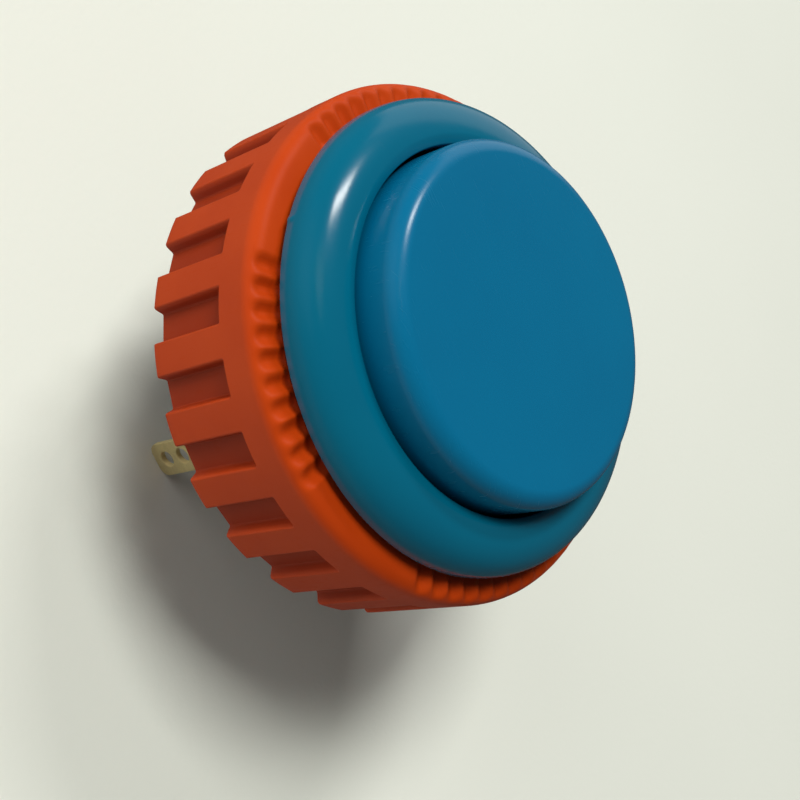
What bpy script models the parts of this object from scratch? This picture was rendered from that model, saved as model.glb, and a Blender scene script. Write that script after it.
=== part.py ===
"""Screw-in push button for a 30 mm panel hole, with a snap-in switch module.

+Z is the button's axis, pointing at the finger. The origin is on that axis, in the plane where the
bezel sits on the panel. The button is unpressed and the ring nut is screwed up to the bezel.
"""

import math

import bmesh
import bpy
from mathutils import Matrix

MM = 0.001

# Clearances
RUNNING_GAP = 0.30 * MM
SEAT_GAP = 0.10 * MM
GUIDE_GAP = 0.25 * MM
NUT_GAP = 0.25 * MM
PRESS_TRAVEL = 2.2 * MM
CONTACT_TRAVEL = 1.5 * MM

# Small details
CUT_MARGIN = 1.0 * MM
LEAD_IN = 0.35 * MM
FOOT_CHAMFER = 0.3 * MM
SPRING_PIN_HEIGHT = 0.6 * MM
SPRING_PIN_SHARE = 0.7

# Bezel and threaded barrel
THREAD_RADIUS = 14.8 * MM
THREAD_DEPTH = 0.75 * MM
THREAD_PITCH = 2.0 * MM
BARREL_WALL = 1.15 * MM
BEZEL_OVERHANG = 1.9 * MM
BEZEL_RIM = 0.45 * MM
BEZEL_HEIGHT = 3.0 * MM
BEZEL_LIP = 0.6 * MM
BEZEL_LIP_DROP = 0.25 * MM
LEDGE_TOP = 6.0 * MM
LEDGE_THICKNESS = 1.2 * MM
LEDGE_DEPTH = 0.9 * MM

# Plunger
PLUNGER_RISE = 3.0 * MM
PLUNGER_EDGE = 1.8 * MM
PLUNGER_WALL = 1.4 * MM
PLUNGER_ROOF = 1.6 * MM
STEM_RADIUS = 2.2 * MM
STEM_FILLET = 0.5 * MM
ROOF_CHAMFER = 0.8 * MM
LEG_WIDTH = 4.0 * MM
LEG_THICKNESS = 0.9 * MM
LEG_ANGLES = (-25.0, 25.0, 155.0, 205.0)
HOOK_REACH = 0.9 * MM
HOOK_HEIGHT = 1.4 * MM

# Ring nut
NUT_SET_BACK = 0.6 * MM
NUT_WALL = 3.4 * MM
NUT_LENGTH = 10.2 * MM
RIB_COUNT = 25
RIB_DEPTH = 0.9 * MM
NUT_COLLAR = 3.2 * MM
FIRST_GROOVE = 5.3
NUT_SHOULDER = 1.1 * MM
TOOTH_PITCH = 5.0
TOOTH_GROUPS = ((-109.0, 10), (-21.0, 12), (72.0, 10), (165.0, 12))
TOOTH_DEPTH = 0.45 * MM
TOOTH_GROOVE = 0.7 * MM
TOOTH_LENGTH = 2.4 * MM

# Switch module
MODULE_HALF_X = 5.0 * MM
MODULE_CORNER = 3.0 * MM
MODULE_WALL = 1.0 * MM
MODULE_DROP = 0.8 * MM
MODULE_CLEARANCE = 2.0 * MM
COVER_THICKNESS = 1.0 * MM
COVER_PLUG = 0.8 * MM
FLOOR_THICKNESS = 1.0 * MM
FLANGE_STEP = 0.5 * MM
FLANGE_THICKNESS = 1.2 * MM
FLOOR_PROUD = 4.8 * MM
ARM_WIDTH = 4.6 * MM
ARM_THICKNESS = 1.3 * MM
ARM_LENGTH = 5.3 * MM
ARM_HOOK = 0.8 * MM
ARM_HOOK_HEIGHT = 1.3 * MM
ARM_NOSE = 0.6 * MM

# Actuator and contact bridge
ACTUATOR_RADIUS = 1.9 * MM
FLANGE_STOP_RADIUS = 2.8 * MM
FLANGE_STOP_THICKNESS = 0.8 * MM
GUIDE_WALL = 1.05 * MM
GUIDE_LENGTH = 1.4 * MM
WINDOW_BAR = 0.8 * MM
BRIDGE_WIDTH = 3.0 * MM
BRIDGE_THICKNESS = 0.4 * MM
FOOT_REACH = 2.2 * MM
RIVET_RADIUS = 1.15 * MM
RIVET_HEAD = 0.4 * MM
RIVET_SHANK = 0.55 * MM
RIVET_CROWN = 0.12 * MM
CONTACT_GAP = 0.1 * MM

# Terminals: 2.8 mm tabs
TAB_WIDTH = 2.8 * MM
TAB_THICKNESS = 0.5 * MM
TAB_OFFSET_X = 1.2 * MM
TAB_LENGTH = 7.7 * MM
TAB_CORNER = 0.8 * MM
TAB_HOLE_RADIUS = 0.65 * MM
TAB_HOLE_DEPTHS = (1.5 * MM, 3.5 * MM)

# Springs
RETURN_COIL_RADIUS = 1.7 * MM
RETURN_WIRE = 0.3 * MM
RETURN_TURNS = 4
CONTACT_COIL_RADIUS = 1.1 * MM
CONTACT_WIRE = 0.25 * MM
CONTACT_TURNS = 4
CONTACT_LENGTH = 2.4 * MM

# Radii that the sizes above give
THREAD_ROOT = THREAD_RADIUS - THREAD_DEPTH
BORE_RADIUS = THREAD_ROOT - BARREL_WALL
BEZEL_RADIUS = THREAD_RADIUS + BEZEL_OVERHANG
NUT_BORE = THREAD_RADIUS + NUT_GAP
NUT_RADIUS = NUT_BORE + NUT_WALL
FLANGE_RADIUS = THREAD_ROOT - FLANGE_STEP
PLUNGER_RADIUS = BORE_RADIUS - RUNNING_GAP
LEDGE_RADIUS = BORE_RADIUS - LEDGE_DEPTH

# The module's corners stay clear of the barrel's ledge
MODULE_DIAGONAL = LEDGE_RADIUS - MODULE_CLEARANCE - MODULE_CORNER
MODULE_HALF_Y = MODULE_CORNER + math.sqrt(MODULE_DIAGONAL**2 - (MODULE_HALF_X - MODULE_CORNER) ** 2)
TAB_OFFSET_Y = MODULE_HALF_Y - MODULE_WALL - GUIDE_GAP - TAB_THICKNESS / 2.0
CONTACT_Y = TAB_OFFSET_Y - FOOT_REACH

# Heights above and depths below the panel plane. The switch stack is worked out from the top down.
PLUNGER_HEIGHT = BEZEL_HEIGHT + PLUNGER_RISE
LEDGE_BOTTOM = LEDGE_TOP + LEDGE_THICKNESS
SKIRT_BOTTOM = LEDGE_TOP - PRESS_TRAVEL - RUNNING_GAP
HOOK_TOP = LEDGE_BOTTOM + RUNNING_GAP
MODULE_TOP = LEDGE_BOTTOM + MODULE_DROP
ACTUATOR_TOP = MODULE_TOP - PRESS_TRAVEL - RUNNING_GAP
COVER_BOTTOM = MODULE_TOP + COVER_THICKNESS
GUIDE_BOTTOM = COVER_BOTTOM + GUIDE_LENGTH
STOP_TOP = GUIDE_BOTTOM + RUNNING_GAP
WINDOW_TOP = STOP_TOP + FLANGE_STOP_THICKNESS
WINDOW_BOTTOM = WINDOW_TOP + CONTACT_LENGTH + BRIDGE_THICKNESS + RUNNING_GAP
ACTUATOR_BOTTOM = WINDOW_BOTTOM + WINDOW_BAR
BRIDGE_BOTTOM = WINDOW_BOTTOM - RUNNING_GAP
BRIDGE_TOP = BRIDGE_BOTTOM - BRIDGE_THICKNESS
MOVING_FACE = BRIDGE_BOTTOM + SEAT_GAP + RIVET_HEAD
FIXED_FACE = MOVING_FACE + CONTACT_TRAVEL + CONTACT_GAP
FOOT_TOP = FIXED_FACE + RIVET_HEAD + SEAT_GAP
FOOT_BOTTOM = FOOT_TOP + TAB_THICKNESS
FLOOR_TOP = ACTUATOR_BOTTOM + PRESS_TRAVEL + RETURN_TURNS * RETURN_WIRE + RUNNING_GAP
MODULE_BOTTOM = FLOOR_TOP + FLOOR_THICKNESS
FLANGE_TOP = MODULE_BOTTOM - FLANGE_THICKNESS - FLOOR_PROUD
BARREL_LENGTH = FLANGE_TOP - RUNNING_GAP
TAB_TIP = MODULE_BOTTOM + TAB_LENGTH

TURN_STEPS = 50
THREAD_STEPS = 26
DOME_STEPS = 7
SMALL_STEPS = 16


def clear_scene():
    for obj in list(bpy.data.objects):
        bpy.data.objects.remove(obj, do_unlink=True)


def make_collection(name):
    made = bpy.data.collections.new(name)
    bpy.context.scene.collection.children.link(made)
    return made


def make_material(name, colour, roughness, metallic=0.0):
    made = bpy.data.materials.new(name)
    made.use_nodes = True
    shader = made.node_tree.nodes["Principled BSDF"]
    shader.inputs["Base Color"].default_value = (*colour, 1.0)
    shader.inputs["Roughness"].default_value = roughness
    shader.inputs["Metallic"].default_value = metallic
    return made


clear_scene()
parts = make_collection("quiz_buzzer")
cutters = make_collection("cutters")


def link_part(name, mesh):
    obj = bpy.data.objects.new(name, mesh)
    parts.objects.link(obj)
    return obj


def as_cutter(obj):
    """Moves a helper object out of the parts and shows it as wire."""
    parts.objects.unlink(obj)
    cutters.objects.link(obj)
    obj.hide_render = True
    obj.display_type = "WIRE"
    return obj


def from_bmesh(name, shape):
    mesh = bpy.data.meshes.new(name)
    shape.to_mesh(mesh)
    shape.free()
    return link_part(name, mesh)


def evaluated_mesh(obj):
    graph = bpy.context.evaluated_depsgraph_get()
    return bpy.data.meshes.new_from_object(obj.evaluated_get(graph), depsgraph=graph)


def turned(name, profile, steps=TURN_STEPS):
    """Turns a profile of (radius, z) points about Z; it is listed down the outside, top to bottom."""
    shape = bmesh.new()
    points = [shape.verts.new((radius, 0.0, z)) for radius, z in profile]
    for first, second in zip(points, points[1:]):
        shape.edges.new((first, second))
    if profile[0][0] > 0.0:
        shape.edges.new((points[-1], points[0]))
    obj = from_bmesh(name, shape)
    screw = obj.modifiers.new("turn", "SCREW")
    screw.steps = steps
    screw.render_steps = steps
    screw.merge_threshold = 1e-7
    return obj


def block(name, low, high):
    """A box between two corners."""
    size = [top - bottom for bottom, top in zip(low, high)]
    middle = [(top + bottom) / 2.0 for bottom, top in zip(low, high)]
    shape = bmesh.new()
    place = Matrix.Translation(middle) @ Matrix.Diagonal((*size, 1.0))
    bmesh.ops.create_cube(shape, size=1.0, matrix=place)
    return from_bmesh(name, shape)


def rod(name, radius, top, bottom, centre=(0.0, 0.0), steps=SMALL_STEPS):
    """A cylinder along Z, between two depths below the panel plane."""
    shape = bmesh.new()
    place = Matrix.Translation((*centre, -(top + bottom) / 2.0))
    bmesh.ops.create_cone(
        shape, cap_ends=True, segments=steps, radius1=radius, radius2=radius,
        depth=bottom - top, matrix=place,
    )
    return from_bmesh(name, shape)


def plate(name, loops, thickness, place):
    """A flat outline, with any further loops as holes, extruded both ways and put in place."""
    curve = bpy.data.curves.new(name, "CURVE")
    curve.dimensions = "2D"
    curve.fill_mode = "BOTH"
    curve.extrude = thickness / 2.0
    for loop in loops:
        spline = curve.splines.new("POLY")
        spline.points.add(len(loop) - 1)
        for point, (x, y) in zip(spline.points, loop):
            point.co = (x, y, 0.0, 1.0)
        spline.use_cyclic_u = True
    drawn = link_part(name + "_outline", curve)
    bpy.context.view_layer.update()
    mesh = evaluated_mesh(drawn)
    bpy.data.objects.remove(drawn)
    shape = bmesh.new()
    shape.from_mesh(mesh)
    bmesh.ops.remove_doubles(shape, verts=shape.verts, dist=1e-7)
    bmesh.ops.recalc_face_normals(shape, faces=shape.faces)
    shape.transform(place)
    bpy.data.meshes.remove(mesh)
    return from_bmesh(name, shape)


def copies(name, obj, places):
    """One mesh holding a copy of the object's mesh at each place; the object is removed."""
    shape = bmesh.new()
    for place in places:
        copy = obj.data.copy()
        copy.transform(place)
        shape.from_mesh(copy)
        bpy.data.meshes.remove(copy)
    bpy.data.objects.remove(obj)
    return from_bmesh(name, shape)


def coil(name, radius, wire, turns, top, bottom):
    """A compression spring as a round wire along a helix, between two depths."""
    start = top + SEAT_GAP + wire / 2.0
    end = bottom - SEAT_GAP - wire / 2.0
    count = turns * 14 + 1
    curve = bpy.data.curves.new(name, "CURVE")
    curve.dimensions = "3D"
    curve.bevel_depth = wire / 2.0
    curve.bevel_resolution = 1
    curve.use_fill_caps = True
    spline = curve.splines.new("POLY")
    spline.points.add(count - 1)
    for index, point in enumerate(spline.points):
        share = index / (count - 1)
        angle = 2.0 * math.pi * turns * share
        depth = start + (end - start) * share
        point.co = (radius * math.cos(angle), radius * math.sin(angle), -depth, 1.0)
    return link_part(name, curve)


def combine(obj, tool, operation):
    boolean = obj.modifiers.new(tool.name, "BOOLEAN")
    boolean.operation = operation
    boolean.solver = "EXACT"
    boolean.object = as_cutter(tool)


def cut(obj, *tools):
    for tool in tools:
        combine(obj, tool, "DIFFERENCE")


def join(obj, *tools):
    for tool in tools:
        combine(obj, tool, "UNION")


def finish(obj, material, sharp_angle=32.0):
    """Fixes the modelled shape as a mesh, shades it smooth between sharp edges and colours it."""
    mesh = evaluated_mesh(obj)
    name = obj.name
    bpy.data.objects.remove(obj)
    mesh.name = name
    done = link_part(name, mesh)
    mesh.shade_smooth()
    mesh.set_sharp_from_angle(angle=math.radians(sharp_angle))
    mesh.materials.clear()
    mesh.materials.append(material)
    return done


def circle(centre, radius, steps=14):
    turn = [2.0 * math.pi * step / steps for step in range(steps)]
    return [(centre[0] + radius * math.cos(a), centre[1] + radius * math.sin(a)) for a in turn]


def arc(centre, radius, start, end, steps):
    """Points on an arc from one angle to another, in degrees."""
    angles = [math.radians(start + (end - start) * step / steps) for step in range(steps + 1)]
    return [(centre[0] + radius * math.cos(a), centre[1] + radius * math.sin(a)) for a in angles]


def rounded_rectangle(half_x, half_y, corner, steps=4):
    points = []
    for side_x, side_y, start in ((1, 1, 0), (-1, 1, 90), (-1, -1, 180), (1, -1, 270)):
        centre = (side_x * (half_x - corner), side_y * (half_y - corner))
        points += arc(centre, corner, start, start + 90, steps)
    return points


def rounded_block(name, half_x, half_y, corner, top, bottom):
    place = Matrix.Translation((0.0, 0.0, -(top + bottom) / 2.0))
    return plate(name, [rounded_rectangle(half_x, half_y, corner)], bottom - top, place)


def turn_about_z(degrees):
    return Matrix.Rotation(math.radians(degrees), 4, "Z")


UPRIGHT = Matrix.Rotation(math.radians(90.0), 4, "X")


def thread():
    """The barrel's right-hand thread: a triangle carried along a helix, sunk a little into the barrel."""
    sink = 0.25 * MM
    start = THREAD_PITCH * 0.75
    turns = int((BARREL_LENGTH - start - THREAD_PITCH * 0.5) / THREAD_PITCH)
    low = -start - turns * THREAD_PITCH
    half = THREAD_PITCH * 0.36
    base = THREAD_ROOT - sink
    crest = THREAD_PITCH * 0.08
    section = [(base, half), (THREAD_RADIUS, crest), (THREAD_RADIUS, -crest), (base, -half)]
    helix = turned("thread", [(radius, low + z) for radius, z in section], THREAD_STEPS)
    screw = helix.modifiers["turn"]
    screw.screw_offset = THREAD_PITCH
    screw.iterations = turns
    screw.use_merge_vertices = False
    mesh = evaluated_mesh(helix)
    bpy.data.objects.remove(helix)
    shape = bmesh.new()
    shape.from_mesh(mesh)
    bmesh.ops.remove_doubles(shape, verts=shape.verts, dist=1e-7)
    bmesh.ops.holes_fill(shape, edges=[edge for edge in shape.edges if edge.is_boundary])
    bmesh.ops.recalc_face_normals(shape, faces=shape.faces)
    return from_bmesh("thread", shape)


def bezel_profile():
    """The domed bezel from its lip out to the rim, then the barrel's outside and its stepped bore."""
    crown = BORE_RADIUS + BEZEL_LIP
    width = BEZEL_RADIUS - crown
    rise = BEZEL_HEIGHT - BEZEL_RIM
    dome = []
    for step in range(DOME_STEPS + 1):
        angle = math.radians(90.0 * step / DOME_STEPS)
        across = math.sin(angle) ** 0.92
        dome.append((crown + width * across, BEZEL_RIM + rise * math.cos(angle) ** 0.88))
    return [
        (BORE_RADIUS, BEZEL_HEIGHT - BEZEL_LIP_DROP),
        *dome,
        (BEZEL_RADIUS, 0.0),
        (THREAD_ROOT, 0.0),
        (THREAD_ROOT, -BARREL_LENGTH + LEAD_IN),
        (THREAD_ROOT - LEAD_IN, -BARREL_LENGTH),
        (BORE_RADIUS, -BARREL_LENGTH),
        (BORE_RADIUS, -LEDGE_BOTTOM),
        (LEDGE_RADIUS, -LEDGE_BOTTOM),
        (LEDGE_RADIUS, -LEDGE_TOP),
        (BORE_RADIUS, -LEDGE_TOP),
    ]


def arm_levels():
    """Depths of a snap arm's tip and of its hook's top and bottom."""
    tip = FLANGE_TOP - ARM_LENGTH
    hook_top = tip + ARM_NOSE
    return tip, hook_top, hook_top + ARM_HOOK_HEIGHT


def bezel_barrel(plastic):
    barrel = turned("bezel_barrel", bezel_profile())
    join(barrel, thread())
    _, hook_top, hook_bottom = arm_levels()
    half = ARM_WIDTH / 2.0 + RUNNING_GAP
    window = block(
        "arm_windows",
        (-THREAD_RADIUS * 1.1, -half, -hook_bottom - RUNNING_GAP),
        (THREAD_RADIUS * 1.1, half, -hook_top + RUNNING_GAP),
    )
    cut(barrel, window)
    return finish(barrel, plastic)


def plunger(plastic):
    edge = arc((PLUNGER_RADIUS - PLUNGER_EDGE, PLUNGER_HEIGHT - PLUNGER_EDGE), PLUNGER_EDGE, 90, 0, 5)
    inner = PLUNGER_RADIUS - PLUNGER_WALL
    roof = PLUNGER_HEIGHT - PLUNGER_ROOF
    stem_end = ACTUATOR_TOP - RUNNING_GAP
    profile = [
        (0.0, PLUNGER_HEIGHT),
        *edge,
        (PLUNGER_RADIUS, -SKIRT_BOTTOM),
        (inner, -SKIRT_BOTTOM),
        (inner, roof - ROOF_CHAMFER),
        (inner - ROOF_CHAMFER, roof),
        (STEM_RADIUS + STEM_FILLET, roof),
        (STEM_RADIUS, roof - STEM_FILLET),
        (STEM_RADIUS, -stem_end),
        (0.0, -stem_end),
    ]
    body = turned("plunger", profile)
    face = LEDGE_RADIUS - RUNNING_GAP - SEAT_GAP
    back = face - LEG_THICKNESS
    hook = face + HOOK_REACH
    root = SKIRT_BOTTOM - CUT_MARGIN
    outline = [
        (back, -root),
        (back, -HOOK_TOP - HOOK_HEIGHT),
        (face, -HOOK_TOP - HOOK_HEIGHT),
        (hook, -HOOK_TOP - LEAD_IN),
        (hook, -HOOK_TOP),
        (face, -HOOK_TOP),
        (face, -root),
    ]
    leg = plate("leg", [outline], LEG_WIDTH, UPRIGHT)
    join(body, copies("legs", leg, [turn_about_z(angle) for angle in LEG_ANGLES]))
    return finish(body, plastic)


def nut_profile():
    top = -NUT_SET_BACK
    bottom = top - NUT_LENGTH
    shoulder = arc((NUT_RADIUS - NUT_SHOULDER, top - NUT_SHOULDER), NUT_SHOULDER, 90, 0, 4)
    foot = FOOT_CHAMFER
    return [
        (NUT_BORE + foot, top),
        *shoulder,
        (NUT_RADIUS, bottom + foot),
        (NUT_RADIUS - foot, bottom),
        (NUT_BORE + foot, bottom),
        (NUT_BORE, bottom + foot),
        (NUT_BORE, top - foot),
    ]


def ring_nut(plastic):
    nut = turned("ring_nut", nut_profile())
    bottom = -NUT_SET_BACK - NUT_LENGTH
    pitch = 360.0 / RIB_COUNT
    floor = NUT_RADIUS - RIB_DEPTH
    half = floor * math.tan(math.radians(pitch / 4.0))
    groove = block(
        "groove",
        (floor, -half, bottom - CUT_MARGIN),
        (NUT_RADIUS + CUT_MARGIN, half, -NUT_SET_BACK - NUT_COLLAR),
    )
    turns = [turn_about_z(FIRST_GROOVE + pitch * step) for step in range(RIB_COUNT)]
    cut(nut, copies("grooves", groove, turns))
    notch = block(
        "notch",
        (NUT_RADIUS - TOOTH_LENGTH, -TOOTH_GROOVE / 2.0, -NUT_SET_BACK - TOOTH_DEPTH),
        (NUT_RADIUS + CUT_MARGIN, TOOTH_GROOVE / 2.0, CUT_MARGIN),
    )
    angles = [
        group + TOOTH_PITCH * (step - (count - 1) / 2.0)
        for group, count in TOOTH_GROUPS
        for step in range(count)
    ]
    cut(nut, copies("notches", notch, [turn_about_z(angle) for angle in angles]))
    return finish(nut, plastic)


def snap_arm():
    """One snap arm in the XZ plane at +X, with its hook outward and its foot sunk into the flange."""
    tip, hook_top, hook_bottom = arm_levels()
    face = BORE_RADIUS - RUNNING_GAP
    back = face - ARM_THICKNESS
    hook = face + ARM_HOOK
    outline = [
        (back, -FLANGE_TOP - FLANGE_THICKNESS / 2.0),
        (face, -FLANGE_TOP - FLANGE_THICKNESS / 2.0),
        (face, -hook_bottom),
        (hook, -hook_bottom),
        (hook, -hook_top - LEAD_IN),
        (face, -hook_top),
        (face - LEAD_IN, -tip),
        (back, -tip),
    ]
    return plate("arm", [outline], ARM_WIDTH, UPRIGHT)


def foot_box(side):
    """Low and high corner of a terminal's foot, which reaches from its tab in to its contact."""
    reach = CONTACT_Y - RIVET_RADIUS
    ends = sorted((side * (TAB_OFFSET_Y + TAB_THICKNESS / 2.0), side * reach))
    low = (-RIVET_RADIUS - GUIDE_GAP, ends[0], -FOOT_BOTTOM)
    high = (TAB_OFFSET_X + TAB_WIDTH / 2.0, ends[1], -FOOT_TOP)
    return low, high


def switch_housing(plastic):
    top = COVER_BOTTOM + SEAT_GAP
    housing = rounded_block(
        "switch_housing", MODULE_HALF_X, MODULE_HALF_Y, MODULE_CORNER, top, MODULE_BOTTOM
    )
    flange = rod("flange", FLANGE_RADIUS, FLANGE_TOP, FLANGE_TOP + FLANGE_THICKNESS, steps=TURN_STEPS)
    join(housing, flange)
    join(housing, copies("arms", snap_arm(), [turn_about_z(0.0), turn_about_z(180.0)]))
    cavity = rounded_block(
        "cavity", MODULE_HALF_X - MODULE_WALL, MODULE_HALF_Y - MODULE_WALL, MODULE_CORNER * 0.5,
        top - CUT_MARGIN, FLOOR_TOP,
    )
    cut(housing, cavity)
    for side, label in ((-1, "a"), (1, "b")):
        low, high = foot_box(side)
        wall = side * (MODULE_HALF_Y - MODULE_WALL * 0.5)
        ends = sorted((wall, low[1] if side > 0 else high[1]))
        shelf = block(
            "shelf_" + label,
            (low[0], ends[0], -FLOOR_TOP - FLOOR_THICKNESS * 0.5),
            (high[0], ends[1], -FOOT_BOTTOM - SEAT_GAP),
        )
        join(housing, shelf)
    pin_top = FLOOR_TOP - SPRING_PIN_HEIGHT
    pin_root = FLOOR_TOP + FLOOR_THICKNESS * 0.5
    join(housing, rod("spring_pin", RETURN_COIL_RADIUS * SPRING_PIN_SHARE, pin_top, pin_root))
    for side, label in ((-1, "a"), (1, "b")):
        half_x = TAB_WIDTH / 2.0 + SEAT_GAP
        half_y = TAB_THICKNESS / 2.0 + SEAT_GAP
        slot = block(
            "tab_slot_" + label,
            (TAB_OFFSET_X - half_x, side * TAB_OFFSET_Y - half_y, -MODULE_BOTTOM - CUT_MARGIN),
            (TAB_OFFSET_X + half_x, side * TAB_OFFSET_Y + half_y, -FOOT_TOP),
        )
        cut(housing, slot)
    return finish(housing, plastic)


def switch_cover(plastic):
    cover = rounded_block(
        "switch_cover", MODULE_HALF_X, MODULE_HALF_Y, MODULE_CORNER, MODULE_TOP, COVER_BOTTOM
    )
    inset = MODULE_WALL + SEAT_GAP
    plug = rounded_block(
        "cover_plug", MODULE_HALF_X - inset, MODULE_HALF_Y - inset, MODULE_CORNER * 0.5,
        COVER_BOTTOM - COVER_THICKNESS * 0.5, COVER_BOTTOM + COVER_PLUG,
    )
    guide = ACTUATOR_RADIUS + GUIDE_GAP
    tube = rod("guide_tube", guide + GUIDE_WALL, COVER_BOTTOM, GUIDE_BOTTOM)
    join(cover, plug, tube)
    cut(cover, rod("guide_bore", guide, MODULE_TOP - CUT_MARGIN, GUIDE_BOTTOM + CUT_MARGIN))
    return finish(cover, plastic)


def actuator(plastic):
    nose = RETURN_COIL_RADIUS * SPRING_PIN_SHARE
    profile = [
        (0.0, -ACTUATOR_TOP),
        (ACTUATOR_RADIUS - LEAD_IN, -ACTUATOR_TOP),
        (ACTUATOR_RADIUS, -ACTUATOR_TOP - LEAD_IN),
        (ACTUATOR_RADIUS, -STOP_TOP),
        (FLANGE_STOP_RADIUS, -STOP_TOP),
        (FLANGE_STOP_RADIUS, -ACTUATOR_BOTTOM),
        (nose, -ACTUATOR_BOTTOM),
        (nose, -ACTUATOR_BOTTOM - SPRING_PIN_HEIGHT),
        (0.0, -ACTUATOR_BOTTOM - SPRING_PIN_HEIGHT),
    ]
    slider = turned("actuator", profile, SMALL_STEPS)
    half = BRIDGE_WIDTH / 2.0 + RUNNING_GAP
    reach = FLANGE_STOP_RADIUS * 1.5
    window = block("window", (-half, -reach, -WINDOW_BOTTOM), (half, reach, -WINDOW_TOP))
    cut(slider, window)
    return finish(slider, plastic)


def contact_bridge(copper):
    half = BRIDGE_WIDTH / 2.0
    reach = CONTACT_Y
    outline = arc((0.0, reach), half, 0, 180, 8) + arc((0.0, -reach), half, 180, 360, 8)
    holes = [circle((0.0, side * reach), RIVET_SHANK + SEAT_GAP) for side in (-1, 1)]
    place = Matrix.Translation((0.0, 0.0, -(BRIDGE_TOP + BRIDGE_BOTTOM) / 2.0))
    return finish(plate("contact_bridge", [outline, *holes], BRIDGE_THICKNESS, place), copper)


def rivet(name, centre_y, face, shank_end, silver):
    """A contact rivet: its head meets the other contact at the face, its shank goes through the strip."""
    away = 1.0 if shank_end > face else -1.0
    levels = [
        (0.0, face),
        (RIVET_RADIUS - RIVET_CROWN, face),
        (RIVET_RADIUS, face + away * RIVET_CROWN),
        (RIVET_RADIUS, face + away * RIVET_HEAD),
        (RIVET_SHANK, face + away * RIVET_HEAD),
        (RIVET_SHANK, shank_end),
        (0.0, shank_end),
    ]
    if away < 0.0:
        levels.reverse()
    made = finish(turned(name, [(radius, -depth) for radius, depth in levels], SMALL_STEPS), silver)
    made.location.y = centre_y
    return made


def terminal(name, side, brass):
    """A 2.8 mm tab with two wire holes, bent inside into a foot that carries a fixed contact."""
    half = TAB_WIDTH / 2.0
    centre = TAB_OFFSET_X
    outline = [
        (centre + half, -FOOT_TOP),
        (centre - half, -FOOT_TOP),
        *arc((centre - half + TAB_CORNER, -TAB_TIP + TAB_CORNER), TAB_CORNER, 180, 270, 4),
        *arc((centre + half - TAB_CORNER, -TAB_TIP + TAB_CORNER), TAB_CORNER, 270, 360, 4),
    ]
    holes = [circle((centre, -TAB_TIP + depth), TAB_HOLE_RADIUS) for depth in TAB_HOLE_DEPTHS]
    place = Matrix.Translation((0.0, side * TAB_OFFSET_Y, 0.0)) @ UPRIGHT
    tab = plate(name, [outline, *holes], TAB_THICKNESS, place)
    low, high = foot_box(side)
    join(tab, block(name + "_foot", low, high))
    contact = (0.0, side * CONTACT_Y)
    bore = RIVET_SHANK + SEAT_GAP
    cut(tab, rod(name + "_rivet_hole", bore, FOOT_TOP - CUT_MARGIN, FOOT_BOTTOM + CUT_MARGIN, contact))
    return finish(tab, brass)


def build():
    teal = make_material("teal_plastic", (0.0, 0.16, 0.23), 0.28)
    blue = make_material("blue_plastic", (0.0, 0.14, 0.32), 0.32)
    orange = make_material("orange_plastic", (0.62, 0.06, 0.012), 0.42)
    black = make_material("black_plastic", (0.02, 0.02, 0.022), 0.5)
    white = make_material("white_plastic", (0.75, 0.74, 0.7), 0.45)
    brass = make_material("brass", (0.55, 0.4, 0.14), 0.35, 1.0)
    copper = make_material("copper_strip", (0.6, 0.3, 0.16), 0.35, 1.0)
    silver = make_material("contact_silver", (0.7, 0.7, 0.68), 0.3, 1.0)
    steel = make_material("spring_steel", (0.5, 0.5, 0.5), 0.3, 1.0)

    bezel_barrel(teal)
    plunger(blue)
    ring_nut(orange)
    switch_housing(black)
    switch_cover(black)
    actuator(white)
    contact_bridge(copper)
    return_spring = coil(
        "return_spring", RETURN_COIL_RADIUS, RETURN_WIRE, RETURN_TURNS, ACTUATOR_BOTTOM, FLOOR_TOP
    )
    contact_spring = coil(
        "contact_spring", CONTACT_COIL_RADIUS, CONTACT_WIRE, CONTACT_TURNS, WINDOW_TOP, BRIDGE_TOP
    )
    for spring in (return_spring, contact_spring):
        spring.data.materials.append(steel)
    for side, label in ((-1, "a"), (1, "b")):
        terminal("terminal_" + label, side, brass)
        centre_y = side * CONTACT_Y
        rivet("moving_contact_" + label, centre_y, MOVING_FACE, BRIDGE_TOP - SEAT_GAP, silver)
        rivet("fixed_contact_" + label, centre_y, FIXED_FACE, FOOT_BOTTOM, silver)


build()
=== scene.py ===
import bmesh
import bpy
import numpy as np
from mathutils import Matrix, Vector


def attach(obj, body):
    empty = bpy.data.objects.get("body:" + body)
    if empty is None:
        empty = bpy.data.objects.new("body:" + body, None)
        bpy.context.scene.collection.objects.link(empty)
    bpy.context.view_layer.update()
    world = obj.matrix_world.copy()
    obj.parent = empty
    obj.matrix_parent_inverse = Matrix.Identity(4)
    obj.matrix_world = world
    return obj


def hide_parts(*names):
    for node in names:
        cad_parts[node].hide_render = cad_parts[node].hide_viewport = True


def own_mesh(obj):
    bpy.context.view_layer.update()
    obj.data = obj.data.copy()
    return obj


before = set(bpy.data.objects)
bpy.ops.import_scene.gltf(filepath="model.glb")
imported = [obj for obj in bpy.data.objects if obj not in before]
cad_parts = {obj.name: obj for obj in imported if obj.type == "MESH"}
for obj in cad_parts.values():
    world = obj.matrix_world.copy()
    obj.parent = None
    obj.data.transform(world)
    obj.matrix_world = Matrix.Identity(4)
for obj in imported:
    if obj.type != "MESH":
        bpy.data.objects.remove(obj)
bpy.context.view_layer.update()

mm = 0.001  # shapes are worked out in millimetres and stored in metres
turn = 2 * np.pi
sharpAngle = 38  # edges that bend more than this, in degrees, stay sharp


def smooth(x):  # 0 below 0, 1 above 1, and 3x^2 - 2x^3 between
    x = np.clip(x, 0, 1)
    return x * x * (3 - 2 * x)


def nearest(x, period):  # signed distance to the nearest multiple of the period
    return x - period * np.round(x / period)


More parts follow.
